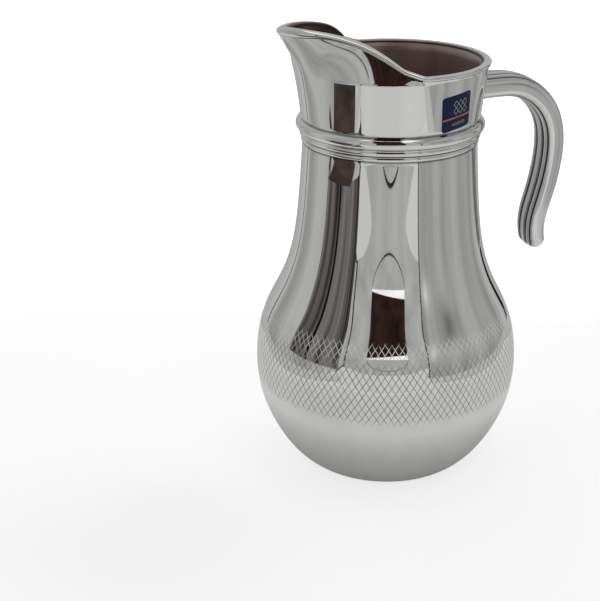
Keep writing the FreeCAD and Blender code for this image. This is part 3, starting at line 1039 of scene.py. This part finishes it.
def soft_patch(name, centre, half_width, half_height, brightness):
    """A soft-edged darker or lighter place on the right wall."""
    material = bpy.data.materials.new(name)
    material.use_nodes = True
    tree = material.node_tree
    tree.nodes.remove(tree.nodes["Principled BSDF"])
    position = tree.nodes.new("ShaderNodeTexCoord")
    mapping = tree.nodes.new("ShaderNodeMapping")
    mapping.inputs["Scale"].default_value = (0, 1 / (half_width * MM), 1 / (half_height * MM))
    ball = tree.nodes.new("ShaderNodeTexGradient")
    ball.gradient_type = "QUADRATIC_SPHERE"
    glow = tree.nodes.new("ShaderNodeEmission")
    glow.inputs["Color"].default_value = (*grey(brightness), 1)
    clear = tree.nodes.new("ShaderNodeBsdfTransparent")
    blend = tree.nodes.new("ShaderNodeMixShader")
    tree.links.new(position.outputs["Object"], mapping.inputs["Vector"])
    tree.links.new(mapping.outputs[0], ball.inputs["Vector"])
    tree.links.new(ball.outputs["Fac"], blend.inputs[0])
    tree.links.new(clear.outputs[0], blend.inputs[1])
    tree.links.new(glow.outputs[0], blend.inputs[2])
    tree.links.new(blend.outputs[0], tree.nodes["Material Output"].inputs["Surface"])
    corners = [(0, y * half_width, z * half_height) for y, z in ((-1, -1), (1, -1), (1, 1), (-1, 1))]
    patch = new_piece(name, corners, [[0, 1, 2, 3]], [material])
    set_up(patch, STUDIO_FRAME @ Matrix.Translation(Vector(centre) * MM))


# the front's pale hem and its apron on the board, the fold where the left wall meets it, and a
# slit in the back
APRON_EDGE = -335.0
hem_cloth = glow_material("tent_hem", grey(0.55), grey(0.6))
HEM_HEIGHT = 76.0
HEM_CORNER_HEIGHT = 104.0
hem_outline = (
    (TENT_LEFT, -2.0), (TENT_RIGHT, -2.0), (TENT_RIGHT, HEM_CORNER_HEIGHT), (270.0, 100.0),
    (185.0, 82.0), (120.0, HEM_HEIGHT), (-110.0, HEM_HEIGHT), (-150.0, 82.0), (-225.0, 100.0),
    (TENT_LEFT, HEM_CORNER_HEIGHT),
)
studio_card("tent_hem", [(x, TENT_FRONT + 2.0, z) for x, z in hem_outline], hem_cloth)
apron_outline = (
    (TENT_LEFT, TENT_FRONT), (TENT_RIGHT, TENT_FRONT), (TENT_RIGHT, APRON_EDGE), (TENT_LEFT, APRON_EDGE)
)
studio_card("tent_apron", [(x, y, 1.0) for x, y in apron_outline], hem_cloth)
fold_outline = ((-285.0, SKIRT), (TENT_FRONT, SKIRT), (TENT_FRONT, FOLD_TOP), (-428.0, FOLD_TOP))
studio_card("tent_fold", [(TENT_LEFT + 2.0, y, z) for y, z in fold_outline], hem_cloth)
fold_seam = ((-352.0, 60.0), (-371.0, 60.0), (-440.0, FOLD_TOP + 6.0), (-418.0, FOLD_TOP + 6.0))
studio_card("tent_fold_seam", [(TENT_LEFT + 3.0, y, z) for y, z in fold_seam], seam_dark)
BACK_SLIT = (172.0, 206.0)
BACK_SLIT_TOP = 420.0
slit_ends = [(x, TENT_BACK - 2.0) for x in BACK_SLIT]
wall("tent_back_slit", *slit_ends, SKIRT, BACK_SLIT_TOP, seam_dark)

RIGHT_WALL = TENT_RIGHT - 3.0
soft_patch("tent_shade", (RIGHT_WALL, -170.0, 240.0), 150.0, 110.0, 0.1)
soft_patch("tent_glow", (RIGHT_WALL - 1.0, -370.0, 200.0), 95.0, 110.0, 0.66)

# A round grey flag with a plain brown top stands by the jug, to the left of the camera. It stands in
# for a goblet: the silver shows the dark upright band that a goblet there would make.
FLAG_CENTRE = (-114.4, -97.0)
FLAG_RADIUS = 50.0
FLAG_TOP = 162.0
FLAG_FOOT = 78.0
flag_cloth = glow_material(
    "studio_flag", (0.015, 0.011, 0.009), (0.2, 0.185, 0.175),
    scale=70.0, stretch=(1, 1, 0.06), low=0.36, high=0.62
)
FLAG_FACING = math.atan2(-FLAG_CENTRE[1], -FLAG_CENTRE[0])
FLAG_COLUMNS = 25
flag_turn = FLAG_FACING + np.radians(np.linspace(-90, 90, FLAG_COLUMNS))
flag_plan = [
    (FLAG_CENTRE[0] + FLAG_RADIUS * math.cos(turn), FLAG_CENTRE[1] + FLAG_RADIUS * math.sin(turn))
    for turn in flag_turn
]
flag_points = [(x, y, z) for x, y in flag_plan for z in (FLAG_FOOT, FLAG_TOP)]
flag_faces = grid_faces(FLAG_COLUMNS, 2, closed_columns=False)
set_up(new_piece("studio_flag", flag_points, flag_faces, [flag_cloth]))
FLAG_SEAM_REACH = 98.0
FLAG_SEAM_TURNS = (0.024, 0.058)
seam_ends = [
    (-FLAG_SEAM_REACH * math.cos(FLAG_FACING + turn), -FLAG_SEAM_REACH * math.sin(FLAG_FACING + turn))
    for turn in FLAG_SEAM_TURNS
]
wall("studio_flag_seam", *seam_ends, FLAG_FOOT, FLAG_TOP - 1.0, seam_dark)
top_brown = glow_material("studio_flag_top", (0.03, 0.02, 0.017), (0.07, 0.05, 0.042), scale=30.0)
FLAG_TOP_REACH = (92.0, 195.0)
FLAG_TOP_SPREAD = math.radians(13)
flag_rim = [
    (-reach * math.cos(FLAG_FACING + turn), -reach * math.sin(FLAG_FACING + turn), FLAG_TOP)
    for reach, turns in zip(FLAG_TOP_REACH, ((-1, 1), (1, -1)))
    for turn in (turns[0] * FLAG_TOP_SPREAD, turns[1] * FLAG_TOP_SPREAD)
]
studio_card("studio_flag_top", flag_rim, top_brown)

FLOOR_REACH = 6000.0
floor_points = [(x * FLOOR_REACH, y * FLOOR_REACH, 0.0) for x, y in ((-1, -1), (1, -1), (1, 1), (-1, 1))]


def floor_material(name, one, other, glow):
    n = Nodes(name)
    tone = n.blend(n.noise(3.0), one, other)
    return n.finish(Base_Color=tone, Roughness=0.9, Emission_Color=(1, 1, 1, 1), Emission_Strength=glow)


pale_floor = floor_material("pale_floor", (0.9, 0.9, 0.9, 1), (0.87, 0.87, 0.875, 1), 0.62)
floor = new_piece("floor", floor_points, [[0, 1, 2, 3]], [pale_floor])
floor.visible_glossy = False
floor.visible_diffuse = False


SHADE_REACH = 0.115
BOARD_LEVEL = -0.5


def board_material():
    """The board as the silver sees it, painted darker under the jug in place of a shadow."""
    n = Nodes("tent_floor")
    ball = n.add("ShaderNodeTexGradient")
    ball.gradient_type = "SPHERICAL"
    mapping = n.add("ShaderNodeMapping", Vector=n.place, Scale=[1 / SHADE_REACH] * 3)
    n.tree.links.new(mapping.outputs[0], ball.inputs["Vector"])
    light = n.spread(ball.outputs["Fac"], 1.0, 0.0, 0.08, 0.6)
    tone = n.mix(light, (0.58, 0.575, 0.57, 1), (0.86, 0.86, 0.85, 1))
    glow = n.mix(light, (0.09, 0.09, 0.09, 1), (0.29, 0.29, 0.287, 1))
    return n.finish(Base_Color=tone, Roughness=0.9, Emission_Color=glow, Emission_Strength=1.0)


board_points = [(x, y, BOARD_LEVEL) for x, y, z in floor_points]
board = new_piece("tent_floor", board_points, [[0, 1, 2, 3]], [board_material()])
board.visible_camera = False

world = bpy.data.worlds.new("studio")
bpy.context.scene.world = world
world.use_nodes = True
world.node_tree.nodes["Background"].inputs["Color"].default_value = (0.93, 0.93, 0.93, 1)
world.node_tree.nodes["Background"].inputs["Strength"].default_value = 1.0
bpy.context.scene.view_settings.view_transform = "Standard"

# ---- the camera ----

CAMERA_DISTANCE = 0.6327
CAMERA_HEIGHT = 0.3599
CAMERA_PAN = 0.0769
CAMERA_PITCH = math.radians(23.12)
CAMERA_ROLL = math.radians(-0.41)
CAMERA_LENS = 72.54

camera_data = bpy.data.cameras.new("camera")
camera_data.lens = CAMERA_LENS
camera_data.sensor_width = 36.0
camera_data.dof.use_dof = False
camera_data.clip_start = 0.05
camera_data.clip_end = 20.0
camera = bpy.data.objects.new("camera", camera_data)
bpy.context.scene.collection.objects.link(camera)
stand = STUDIO_FRAME @ Matrix.Translation((0.0, -CAMERA_DISTANCE, CAMERA_HEIGHT))
aim = Matrix.Rotation(CAMERA_PAN, 4, "Z") @ Matrix.Rotation(math.pi / 2 - CAMERA_PITCH, 4, "X")
camera.matrix_world = stand @ aim @ Matrix.Rotation(CAMERA_ROLL, 4, "Z")
bpy.context.scene.camera = camera
